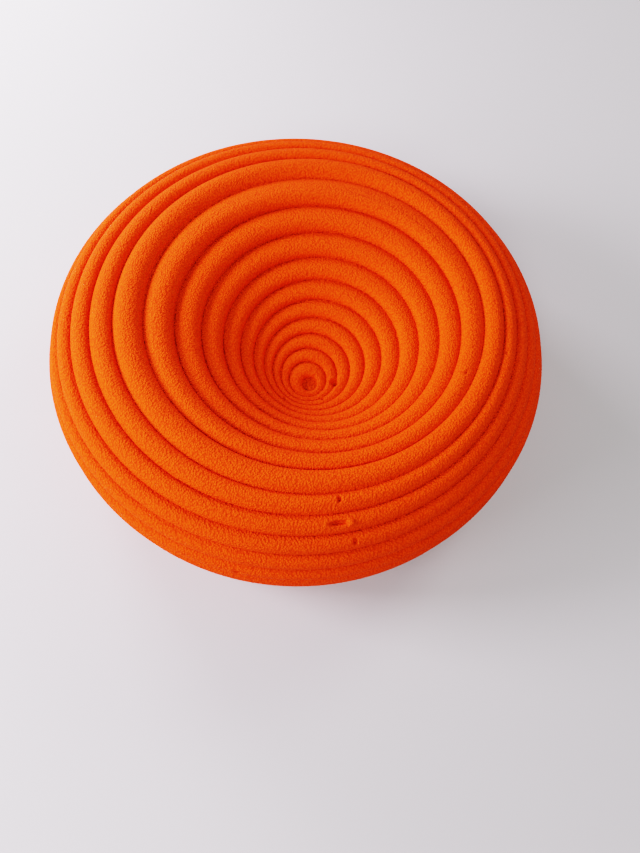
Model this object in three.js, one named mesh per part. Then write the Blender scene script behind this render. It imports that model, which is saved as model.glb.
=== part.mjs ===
// A mousse cake set in a mould: a thick round with a hollow in its top, ribbed all over.
// The valleys between the ribs are closed rings. Each ring is a circle with its own radius, height,
// middle and lean, so the rings draw together on one side of the hollow and spread on the other.
// Millimetres, +Z up, with the origin at the middle of the base.
import * as THREE from 'three';
import { ParametricGeometry } from 'three/addons/geometries/ParametricGeometry.js';

// Driving dimensions, of the smooth surface that runs through the valleys
const WAIST_RADIUS = 88;     // where the side is widest
const WAIST_HEIGHT = 30;
const CREST_RADIUS = 64;     // where the rim is highest
const CREST_HEIGHT = 53;
const BASE_RADIUS = 80;      // the side tucks in below the waist
const FLOOR_HEIGHT = 34;     // the dimple at the bottom of the hollow
const DIMPLE_RADIUS = 2.5;

// Ribs, counted outwards from the dimple: a whole number is a valley
const CREST_RIB = 10.6;      // count where the rim is highest
const BASE_RIB = 21;         // count at the base
const START_RADIUS = 3.4;    // of the rings, carried on to count 0; the dimple is smaller, so its rib is wide
const INNER_PITCH = 3.2;     // growth of the rings' radius from one valley to the next at the dimple
const PITCH_POWER = 2.8;     // how late the rings spread towards the rim
const RIB_ANGLE = THREE.MathUtils.degToRad(60); // at which a rib's round back meets its valleys
const RIB_TILT = THREE.MathUtils.degToRad(16);  // of the ribs towards the dimple
const TILT_SWING = THREE.MathUtils.degToRad(12); // more on the +Y side, and less on the -Y side

// How the rings lie: they shift along +X to a peak and part of the way back, drift along -Y and lean.
// The dimple sits a little further along +X than the ring round it.
const PEAK_SHIFT = 8.5;
const PEAK_RIB = 6.9;
const SHIFT_END_RIB = 14.5;
const INNER_SHIFT = 4.9;
const INNER_RIB = 1;
const DIMPLE_SHIFT = 0.8;
const DRIFT = -20;
const DRIFT_POWER = 0.83;
const DRIFT_END_RIB = 10.2;
const LEAN = THREE.MathUtils.degToRad(10);
const LEAN_END_RIB = 9.6;

// Facets
const STEPS_PER_RIB = 4;
const SEGMENTS = 56;
const ROWS = BASE_RIB * STEPS_PER_RIB;
const SMALL_STEP = 0.01;     // for slopes, in ribs along the profile and in radians round a ring

// The side: an ellipse from the crest down to the waist, and a taller one from there in to the base
const rollWidth = WAIST_RADIUS - CREST_RADIUS;
const baseReach = (BASE_RADIUS - CREST_RADIUS) / rollWidth;
const tuckHeight = WAIST_HEIGHT / Math.sqrt(1 - baseReach ** 2);
const side = new THREE.CurvePath();
side.add(new THREE.EllipseCurve(CREST_RADIUS, WAIST_HEIGHT, rollWidth, CREST_HEIGHT - WAIST_HEIGHT,
  Math.PI / 2, 0, true));
side.add(new THREE.EllipseCurve(CREST_RADIUS, WAIST_HEIGHT, rollWidth, tuckHeight,
  0, -Math.acos(baseReach), true));

/** A half cosine that falls from 1 at t = 0 to 0 at t = 1. */
function ease(t) {
  return (1 + Math.cos(Math.PI * THREE.MathUtils.clamp(t, 0, 1))) / 2;
}

/** The share of an effect that is left at a rib count, full at the dimple and gone at the end count. */
function fade(rib, endRib) {
  return Math.max(0, 1 - rib / endRib);
}

/** Radius (x) and height (y) of the ring at a rib count. */
function ringSize(rib) {
  if (rib >= CREST_RIB) {
    return side.getPoint(Math.min(1, (rib - CREST_RIB) / (BASE_RIB - CREST_RIB)));
  }
  const spread = CREST_RADIUS - START_RADIUS - INNER_PITCH * CREST_RIB;
  const share = Math.max(0, rib) / CREST_RIB;
  const narrowing = (START_RADIUS - DIMPLE_RADIUS) * fade(rib, INNER_RIB);
  const radius = START_RADIUS - narrowing + INNER_PITCH * CREST_RIB * share + spread * share ** PITCH_POWER;
  const drop = (CREST_HEIGHT - FLOOR_HEIGHT) * ease(radius / CREST_RADIUS);
  return new THREE.Vector2(radius, CREST_HEIGHT - drop);
}

/** The middle of the ring at a rib count. */
function ringMiddle(rib) {
  const outer = PEAK_SHIFT * ease((rib - PEAK_RIB) / (SHIFT_END_RIB - PEAK_RIB));
  const back = ease((PEAK_RIB - rib) / (PEAK_RIB - INNER_RIB));
  const inner = THREE.MathUtils.lerp(INNER_SHIFT, PEAK_SHIFT, back) + DIMPLE_SHIFT * fade(rib, INNER_RIB);
  return new THREE.Vector3(
    rib < PEAK_RIB ? inner : outer,
    DRIFT * fade(rib, DRIFT_END_RIB) ** DRIFT_POWER,
    ringSize(rib).y,
  );
}

/** A point of the ring at a rib count. The ring leans so that its +Y side is the higher one. */
function ringPoint(rib, turn) {
  const radius = ringSize(rib).x;
  const lean = LEAN * fade(rib, LEAN_END_RIB);
  const reach = radius * Math.sin(turn);
  const arm = new THREE.Vector3(radius * Math.cos(turn), reach * Math.cos(lean), reach * Math.sin(lean));
  return arm.add(ringMiddle(rib));
}

/** Height of a rib for a spacing of 1, across it from 0 to 1: an arc of a circle. */
function ribHeight(across) {
  const edge = Math.sin(RIB_ANGLE);
  return (Math.sqrt(1 - ((2 * across - 1) * edge) ** 2) - Math.cos(RIB_ANGLE)) / (2 * edge);
}

/** A point of the cake's skin: the ribs stand on the surface through the valleys, tilted inwards. */
function skinPoint(rib, turn) {
  const inner = Math.min(Math.floor(rib), BASE_RIB - 1);
  const spacing = ringPoint(inner, turn).distanceTo(ringPoint(inner + 1, turn));
  const along = ringPoint(rib + SMALL_STEP, turn).sub(ringPoint(rib - SMALL_STEP, turn)).normalize();
  const round = ringPoint(rib, turn + SMALL_STEP).sub(ringPoint(rib, turn - SMALL_STEP)).normalize();
  const tilt = RIB_TILT + TILT_SWING * Math.sin(turn);
  const upwards = along.clone().cross(round).normalize().addScaledVector(along, -Math.tan(tilt));
  return ringPoint(rib, turn).addScaledVector(upwards, spacing * ribHeight(rib - inner));
}

/** The skin in rows of rings, closed at both ends by a row that is the ring's middle. */
function makeCake() {
  const geometry = new ParametricGeometry((down, round, target) => {
    const row = down * (ROWS + 2) - 1;
    const rib = THREE.MathUtils.clamp(row, 0, ROWS) / STEPS_PER_RIB;
    const opened = THREE.MathUtils.clamp(Math.min(row, ROWS - row) + 1, 0, 1);
    target.copy(ringMiddle(rib)).lerp(skinPoint(rib, round * 2 * Math.PI), opened);
  }, ROWS + 2, SEGMENTS);
  geometry.computeVertexNormals();
  return geometry;
}

const velvet = new THREE.MeshStandardMaterial({ color: 0xf04a06, roughness: 0.9, metalness: 0 });

const cake = new THREE.Mesh(makeCake(), velvet);
cake.name = 'cake';

const mousseCake = new THREE.Group();
mousseCake.add(cake);

export default mousseCake;
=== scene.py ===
# A round mousse cake from a ribbed mould, coated with a sprayed velvet of coloured cocoa butter.
import bpy
import numpy as np
from mathutils import Matrix, Vector


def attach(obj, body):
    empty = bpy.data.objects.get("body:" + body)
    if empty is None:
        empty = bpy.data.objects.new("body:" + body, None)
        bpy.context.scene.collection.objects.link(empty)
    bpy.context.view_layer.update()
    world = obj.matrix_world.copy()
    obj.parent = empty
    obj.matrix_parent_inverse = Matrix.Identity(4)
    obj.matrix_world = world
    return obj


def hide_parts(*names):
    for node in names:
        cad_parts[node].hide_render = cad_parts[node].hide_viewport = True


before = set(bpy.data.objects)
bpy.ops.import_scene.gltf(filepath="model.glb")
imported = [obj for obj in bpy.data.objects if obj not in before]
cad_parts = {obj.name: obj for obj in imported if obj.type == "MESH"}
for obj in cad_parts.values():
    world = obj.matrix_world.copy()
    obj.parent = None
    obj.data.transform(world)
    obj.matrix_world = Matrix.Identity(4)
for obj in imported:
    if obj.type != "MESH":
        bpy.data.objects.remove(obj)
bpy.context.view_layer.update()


# The cake
# Frozen mousse, turned out of a silicone mould in one piece. Its ribs are closed rings that cross the
# side and the rim and sink into a hollow, where they lie off-centre and lean. All sizes are millimetres.
WAIST_RADIUS, WAIST_HEIGHT = 88.0, 30.0
CREST_RADIUS, CREST_HEIGHT = 64.0, 53.0
BASE_RADIUS = 80.0
FLOOR_HEIGHT, DIMPLE_RADIUS = 34.0, 2.5
CREST_RIB, BASE_RIB = 10.6, 21
START_RADIUS, INNER_PITCH, PITCH_POWER = 3.4, 3.2, 2.8
RIB_ANGLE, RIB_TILT, TILT_SWING = np.radians([60, 16, 12])
PEAK_SHIFT, PEAK_RIB, SHIFT_END_RIB = 8.5, 6.9, 14.5
INNER_SHIFT, INNER_RIB, DIMPLE_SHIFT = 4.9, 1.0, 0.8
DRIFT, DRIFT_POWER, DRIFT_END_RIB = -20.0, 0.83, 10.2
LEAN, LEAN_END_RIB = np.radians(10), 9.6
SMALL_STEP = 0.01  # for slopes, in ribs along the profile and in radians round a ring
SIDE_SAMPLES = 800


def ease(t):
    """Half a cosine, from 1 at t = 0 down to 0 at t = 1."""
    return (1 + np.cos(np.pi * np.clip(t, 0, 1))) / 2


def fade(rib, end_rib):
    """The share of an effect left at a count of ribs: full at the dimple, gone at the end count."""
    return np.clip(1 - rib / end_rib, 0, None)


def side_path():
    """Radius, height and length so far down the side: a quarter of an ellipse from the crest to the
    waist, then part of a taller ellipse from the waist in to the base."""
    roll = WAIST_RADIUS - CREST_RADIUS
    reach = (BASE_RADIUS - CREST_RADIUS) / roll
    tuck = WAIST_HEIGHT / np.sqrt(1 - reach**2)
    upper = np.linspace(np.pi / 2, 0, SIDE_SAMPLES)
    lower = np.linspace(0, -np.arccos(reach), SIDE_SAMPLES)[1:]
    radius = CREST_RADIUS + roll * np.cos(np.concatenate([upper, lower]))
    high = (CREST_HEIGHT - WAIST_HEIGHT) * np.sin(upper)
    low = tuck * np.sin(lower)
    height = WAIST_HEIGHT + np.concatenate([high, low])
    length = np.concatenate([[0], np.cumsum(np.hypot(np.diff(radius), np.diff(height)))])
    return radius, height, length


SIDE_RADIUS, SIDE_HEIGHT, SIDE_LENGTH = side_path()


def ring_size(rib):
    """Radius and height of the valley ring at a count of ribs from the dimple. In the hollow the radius
    grows by the inner pitch plus a power, with a wider first rib, and the height is a cosine bowl.
    Past the crest the rings follow the side at an even pitch."""
    share = np.clip(rib / CREST_RIB, 0, 1)
    spread = CREST_RADIUS - START_RADIUS - INNER_PITCH * CREST_RIB
    narrowing = (START_RADIUS - DIMPLE_RADIUS) * fade(rib, INNER_RIB)
    radius = START_RADIUS - narrowing + INNER_PITCH * CREST_RIB * share + spread * share**PITCH_POWER
    height = CREST_HEIGHT - (CREST_HEIGHT - FLOOR_HEIGHT) * ease(radius / CREST_RADIUS)
    along = np.clip((rib - CREST_RIB) / (BASE_RIB - CREST_RIB), 0, 1) * SIDE_LENGTH[-1]
    outside = rib >= CREST_RIB
    return (
        np.where(outside, np.interp(along, SIDE_LENGTH, SIDE_RADIUS), radius),
        np.where(outside, np.interp(along, SIDE_LENGTH, SIDE_HEIGHT), height),
    )


def ring_points(rib, turn):
    """Points of the valley rings: a circle, leaned about X and moved to its own middle."""
    radius, height = ring_size(rib)
    outer = PEAK_SHIFT * ease((rib - PEAK_RIB) / (SHIFT_END_RIB - PEAK_RIB))
    inner = INNER_SHIFT + (PEAK_SHIFT - INNER_SHIFT) * ease((PEAK_RIB - rib) / (PEAK_RIB - INNER_RIB))
    middle_x = np.where(rib < PEAK_RIB, inner + DIMPLE_SHIFT * fade(rib, INNER_RIB), outer)
    middle_y = DRIFT * fade(rib, DRIFT_END_RIB) ** DRIFT_POWER
    lean = LEAN * fade(rib, LEAN_END_RIB)
    reach = radius * np.sin(turn)
    x = middle_x + radius * np.cos(turn)
    y = middle_y + reach * np.cos(lean)
    z = height + reach * np.sin(lean)
    return np.stack(np.broadcast_arrays(x, y, z), axis=-1)


def unit(vectors):
    """The vectors, made one long."""
    return vectors / np.linalg.norm(vectors, axis=-1, keepdims=True)


def skin_points(rib, turn):
    """Points of the skin, with their outward directions and their share of the rib's height. Each rib is
    an arc of a circle as wide as the local pitch, on the surface through the valleys, tilted inwards,
    most on the +Y side."""
    inner = np.minimum(np.floor(rib), BASE_RIB - 1)
    spacing = np.linalg.norm(ring_points(inner + 1, turn) - ring_points(inner, turn), axis=-1)
    edge = np.sin(RIB_ANGLE)
    across = (2 * (rib - inner) - 1) * edge
    crown = (np.sqrt(1 - across**2) - np.cos(RIB_ANGLE)) / (1 - np.cos(RIB_ANGLE))
    depth = spacing * crown * (1 - np.cos(RIB_ANGLE)) / (2 * edge)
    along = ring_points(rib + SMALL_STEP, turn) - ring_points(rib - SMALL_STEP, turn)
    round_about = ring_points(rib, turn + SMALL_STEP) - ring_points(rib, turn - SMALL_STEP)
    outward = unit(np.cross(along, round_about))
    tilt = RIB_TILT + TILT_SWING * np.sin(turn)
    leaning = outward - np.tan(tilt)[..., None] * unit(along)
    points = ring_points(rib, turn) + leaning * depth[..., None]
    return points, outward, np.broadcast_to(crown, depth.shape)


# Small flaws, each with its rib count, turn in degrees, half length round the ring, half width and depth
FLAWS = (
    (11.36, -76.9, 0.6, 0.9, 1.5),  # pit
    (12.44, -76.5, 2.6, 0.8, 1.7),  # slot
    (12.48, -73.7, 1.3, 1.2, -0.8),  # bump at the end of the slot
    (13.44, -72.6, 0.6, 0.9, 1.5),  # pit
    (15.50, -96.8, 0.8, 0.7, 1.2),  # pit
    (11.27, -9.5, 0.6, 0.5, 0.6),  # nick
    (9.68, -19.7, 0.6, 0.5, 0.6),  # nick
    (1.92, -14.0, 1.1, 1.5, 1.6),  # notch beside the dimple
    (3.70, -122.8, 0.7, 0.5, 0.7),  # nick
    (2.39, -60.2, 0.7, 0.5, 0.7),  # nick
)
FLAW_STEP = 0.5  # degrees, for the way that a ring runs past a flaw
ROW_SPACING, FINE_SPACING = 0.75, 0.3
COLUMNS, TURN_SAMPLES = 330, 7201
CROWDING, CROWD_WIDTH = 4.0, np.radians(3)


def rib_rows():
    """Rib counts of the grid's rows: a row on every valley, even steps between, and fine steps in the ribs
    that have flaws."""
    whole = np.arange(BASE_RIB + 1.0)
    pitch = np.hypot(*np.diff(np.array(ring_size(whole)), axis=1))
    flawed = np.isin(whole[:-1], np.floor([flaw[0] for flaw in FLAWS]))
    steps = np.rint(pitch / np.where(flawed, FINE_SPACING, ROW_SPACING)).astype(int)
    parts = [rib + np.arange(n) / n for rib, n in zip(whole, steps)]
    return np.concatenate([*parts, [BASE_RIB]])


def column_turns():
    """Turns of the grid's columns. Their density is one, plus a bell curve round each flaw."""
    fine = np.linspace(-np.pi, np.pi, TURN_SAMPLES)
    density = np.ones_like(fine)
    for flaw in FLAWS:
        density += CROWDING * np.exp(-(((fine - np.radians(flaw[1])) / CROWD_WIDTH) ** 2))
    passed = np.concatenate([[0], np.cumsum((density[1:] + density[:-1]) / 2)])
    return np.interp(np.arange(COLUMNS) / COLUMNS * passed[-1], passed, fine)


rows = rib_rows()
turns = column_turns()
points, outward, crowns = skin_points(rows[:, None], turns[None, :])
# Painted shade in the pits and slots: their crown share is lowered so that they take the darker, redder
# valley colour.
pit_shade = np.zeros(crowns.shape)
for rib, degrees, half_length, half_width, depth in FLAWS:
    centre, beside = skin_points(np.array([rib, rib]), np.radians([degrees, degrees + FLAW_STEP]))[0]
    ahead = unit(beside - centre)
    offset = points - centre
    forth = offset @ ahead
    aside = np.linalg.norm(offset - forth[..., None] * ahead, axis=-1)
    share = np.exp(-(((forth / half_length) ** 2 + (aside / half_width) ** 2) ** 2))
    points -= outward * (depth * share)[..., None]
    pit_shade = np.maximum(pit_shade, share * (depth > 0))
crowns = crowns * (1 - pit_shade)

# The dimple's floor is a flat disc at the foot of a short upright wall. Its row has the rib count -1.
DIMPLE_DROP = 0.6
points = np.concatenate([points[:1] - [0, 0, DIMPLE_DROP], points])
# The disc takes the crown share of the dimple's wall, which is none, so it gets the full painted valley
# shade.
crowns = np.concatenate([crowns[:1], crowns])
rows = np.concatenate([[-1], rows])

count = len(rows)
index = np.arange(count * COLUMNS).reshape(count, COLUMNS)
following = np.roll(index, -1, axis=1)
quads = np.stack([index[1:], following[1:], following[:-1], index[:-1]], axis=-1).reshape(-1, 4)
dimple_middle, base_middle = count * COLUMNS, count * COLUMNS + 1
dimple_fan = np.stack([index[0], following[0], np.full(COLUMNS, dimple_middle)], axis=-1)
base_fan = np.stack([following[-1], index[-1], np.full(COLUMNS, base_middle)], axis=-1)
ends = points[[0, -1]].mean(axis=1)
vertices = np.concatenate([points.reshape(-1, 3), ends]) / 1000

cake_mesh = bpy.data.meshes.new("velvet_cake")
cake_mesh.from_pydata(vertices.tolist(), [], quads.tolist() + dimple_fan.tolist() + base_fan.tolist())
cake_mesh.polygons.foreach_set("use_smooth", np.ones(len(cake_mesh.polygons), dtype=bool))

# The edges along a ring at a whole rib count are creases: the valleys and the dimple's wall
NO_VALLEY = 0.5  # a rib count for the two middles, which no valley has
edge_ends = np.empty(len(cake_mesh.edges) * 2, dtype=np.int32)
cake_mesh.edges.foreach_get("vertices", edge_ends)
edge_rows = np.append(np.repeat(rows, COLUMNS), [NO_VALLEY] * 2)[edge_ends].reshape(-1, 2)
in_valley = (edge_rows[:, 0] == edge_rows[:, 1]) & (edge_rows[:, 0] % 1 == 0)
cake_mesh.attributes.new("sharp_edge", "BOOLEAN", "EDGE").data.foreach_set("value", in_valley)
crown_share = np.append(crowns.ravel(), [0, 0]).astype(np.float32)
cake_mesh.attributes.new("crown", "FLOAT", "POINT").data.foreach_set("value", crown_share)
velvet_cake = bpy.data.objects.new("velvet_cake", cake_mesh)
bpy.context.collection.objects.link(velvet_cake)

# The velvet coat: droplets of cocoa butter that froze as they landed, with painted shade that colours it
# darker and redder in the valleys, in the pits and on the dimple's floor
# Painted shade: the valley colour is darker and redder than the coat and fades out up each rib's flanks.
VALLEY_SHADE_COLOUR = (0.44, 0.035, 0.001, 1)
COAT_COLOUR = (0.58, 0.043, 0.0012, 1)
# Droplet tops are coloured paler than the gaps between them. This is partly the droplets' own tint, and
# partly painted light on the tops and painted shade in the gaps, following the same relief as the bump.
BEAD_TOP_TINT_AND_LIGHT = (0.74, 0.07, 0.003, 1)
VALLEY_SHADE_END = 0.5  # share of a rib's height at which the painted valley shade ends and the coat has its full colour
COAT_ROUGHNESS, COAT_SHINE = 0.8, 0.08
BEADS_PER_METRE = 1500.0
BEAD_RELIEF = 0.0003  # metres
BEAD_EDGE, BEAD_TOP = 0.7, 0.2  # distances from a droplet's middle, in cells of the pattern
velvet = bpy.data.materials.new("sprayed_velvet")
velvet.use_nodes = True
nodes, links = velvet.node_tree.nodes, velvet.node_tree.links
shader = nodes["Principled BSDF"]
shader.inputs["Roughness"].default_value = COAT_ROUGHNESS
shader.inputs["Specular IOR Level"].default_value = COAT_SHINE

# The crown share picks the colour: painted valley shade at the valleys, the coat's own colour from halfway
# up each rib.
crown_value = nodes.new("ShaderNodeAttribute")
crown_value.attribute_name = "crown"
valley_shade_ramp = nodes.new("ShaderNodeValToRGB")
valley_shade_ramp.color_ramp.elements[0].color = VALLEY_SHADE_COLOUR
valley_shade_ramp.color_ramp.elements[1].color = COAT_COLOUR
valley_shade_ramp.color_ramp.elements[1].position = VALLEY_SHADE_END
links.new(crown_value.outputs["Fac"], valley_shade_ramp.inputs["Fac"])

place = nodes.new("ShaderNodeTexCoord")
beads = nodes.new("ShaderNodeTexVoronoi")
beads.inputs["Scale"].default_value = BEADS_PER_METRE
links.new(place.outputs["Object"], beads.inputs["Vector"])
bead_top = nodes.new("ShaderNodeMapRange")
bead_top.inputs["From Min"].default_value = BEAD_EDGE
bead_top.inputs["From Max"].default_value = BEAD_TOP
links.new(beads.outputs["Distance"], bead_top.inputs["Value"])
# Paler droplet tops over darker gaps: the droplets' tint together with painted light and shade, by the same
# pattern as the relief.
bead_tint_and_shade = nodes.new("ShaderNodeMix")
bead_tint_and_shade.data_type = "RGBA"
bead_tint_and_shade.inputs["B"].default_value = BEAD_TOP_TINT_AND_LIGHT
links.new(bead_top.outputs["Result"], bead_tint_and_shade.inputs["Factor"])
links.new(valley_shade_ramp.outputs["Color"], bead_tint_and_shade.inputs["A"])
links.new(bead_tint_and_shade.outputs["Result"], shader.inputs["Base Color"])
relief = nodes.new("ShaderNodeBump")
relief.invert = True
relief.inputs["Distance"].default_value = BEAD_RELIEF
relief.inputs["Strength"].default_value = 1.0
links.new(beads.outputs["Distance"], relief.inputs["Height"])
links.new(relief.outputs["Normal"], shader.inputs["Normal"])
cake_mesh.materials.append(velvet)

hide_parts("cake")
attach(velvet_cake, "root")


# The surface that the cake stands on
# A wide sheet of pale matt material, level with the cake's base, plain to its far edges.
FLOOR_REACH = 4.0  # metres
FLOOR_COLOUR, FLOOR_ROUGHNESS = (0.43, 0.415, 0.42, 1), 0.8
floor_mesh = bpy.data.meshes.new("floor")
floor_corners = np.array([(-1, -1, 0), (1, -1, 0), (1, 1, 0), (-1, 1, 0)]) * FLOOR_REACH
floor_mesh.from_pydata(floor_corners.tolist(), [], [(0, 1, 2, 3)])
floor = bpy.data.objects.new("floor", floor_mesh)
bpy.context.collection.objects.link(floor)
pale = bpy.data.materials.new("pale_floor")
pale.use_nodes = True
pale_shader = pale.node_tree.nodes["Principled BSDF"]
pale_shader.inputs["Base Color"].default_value = FLOOR_COLOUR
pale_shader.inputs["Roughness"].default_value = FLOOR_ROUGHNESS
floor_mesh.materials.append(pale)


# Light and camera
# Soft low light from the left in three parts, as from a row of windows, a fill from the right, a fill from
# the near side and an even light from the room. The camera is held above the near side. Lengths are metres.
LAMP_TARGET = Vector((0, 0, 0.03))
WINDOW_COLOUR, FILL_COLOUR = (1, 0.92, 1.05), (1, 1, 1)
ROOM_STRENGTH = 0.3


def soft_light(name, colour, strength, degrees_round, degrees_up, distance, width):
    """A square lamp that faces the cake from a turn and a rise. Its energy is pi squared times its distance
    squared times the strength, so that a white sheet square to it, at the cake, gets the strength as its
    brightness."""
    turn, rise = np.radians([degrees_round, degrees_up])
    back = Vector((np.cos(turn) * np.cos(rise), np.sin(turn) * np.cos(rise), np.sin(rise)))
    lamp = bpy.data.lights.new(name, "AREA")
    lamp.shape = "SQUARE"
    lamp.size = width
    lamp.energy = np.pi**2 * distance**2 * strength
    lamp.color = colour
    holder = bpy.data.objects.new(name, lamp)
    facing = (-back).to_track_quat("-Z", "Y").to_matrix().to_4x4()
    holder.matrix_world = Matrix.Translation(LAMP_TARGET + back * distance) @ facing
    holder.visible_camera = False
    bpy.context.collection.objects.link(holder)


soft_light("window", WINDOW_COLOUR, 1.5, degrees_round=186, degrees_up=25, distance=0.55, width=0.2)
soft_light("near_window", WINDOW_COLOUR, 0.5, degrees_round=215, degrees_up=20, distance=0.55, width=0.2)
soft_light("far_window", WINDOW_COLOUR, 1.0, degrees_round=134, degrees_up=20, distance=0.45, width=0.16)
soft_light("right_fill", FILL_COLOUR, 0.36, degrees_round=50, degrees_up=30, distance=1.2, width=0.4)
soft_light("near_fill", FILL_COLOUR, 0.52, degrees_round=262, degrees_up=45, distance=1.2, width=0.4)
world = bpy.data.worlds.new("room")
world.use_nodes = True
background = world.node_tree.nodes["Background"]
background.inputs["Color"].default_value = (1, 1, 1, 1)
background.inputs["Strength"].default_value = ROOM_STRENGTH
bpy.context.scene.world = world
bpy.context.scene.view_settings.view_transform = "Filmic"
bpy.context.scene.view_settings.look = "Very High Contrast"

CAMERA_PLACE = (0.0109, -0.1232, 0.2381)
CAMERA_DOWN, CAMERA_ROLL = np.radians(66.86), np.radians(5.52)
FOCAL_PIXELS, LONG_SIDE_PIXELS = 640.0, 853.0
SENSOR_WIDTH = 36.0  # millimetres, along the long side
NEAREST_SEEN = 0.01
forward = Vector((0, np.cos(CAMERA_DOWN), -np.sin(CAMERA_DOWN)))
level = Vector((1, 0, 0))
upright = level.cross(forward)
right = level * np.cos(CAMERA_ROLL) + upright * np.sin(CAMERA_ROLL)
up = upright * np.cos(CAMERA_ROLL) - level * np.sin(CAMERA_ROLL)
lens = bpy.data.cameras.new("camera")
lens.sensor_width = SENSOR_WIDTH
lens.lens = FOCAL_PIXELS / LONG_SIDE_PIXELS * SENSOR_WIDTH
lens.clip_start = NEAREST_SEEN
camera = bpy.data.objects.new("camera", lens)
looking = Matrix((right, up, -forward)).transposed().to_4x4()
camera.matrix_world = Matrix.Translation(CAMERA_PLACE) @ looking
bpy.context.collection.objects.link(camera)
bpy.context.scene.camera = camera
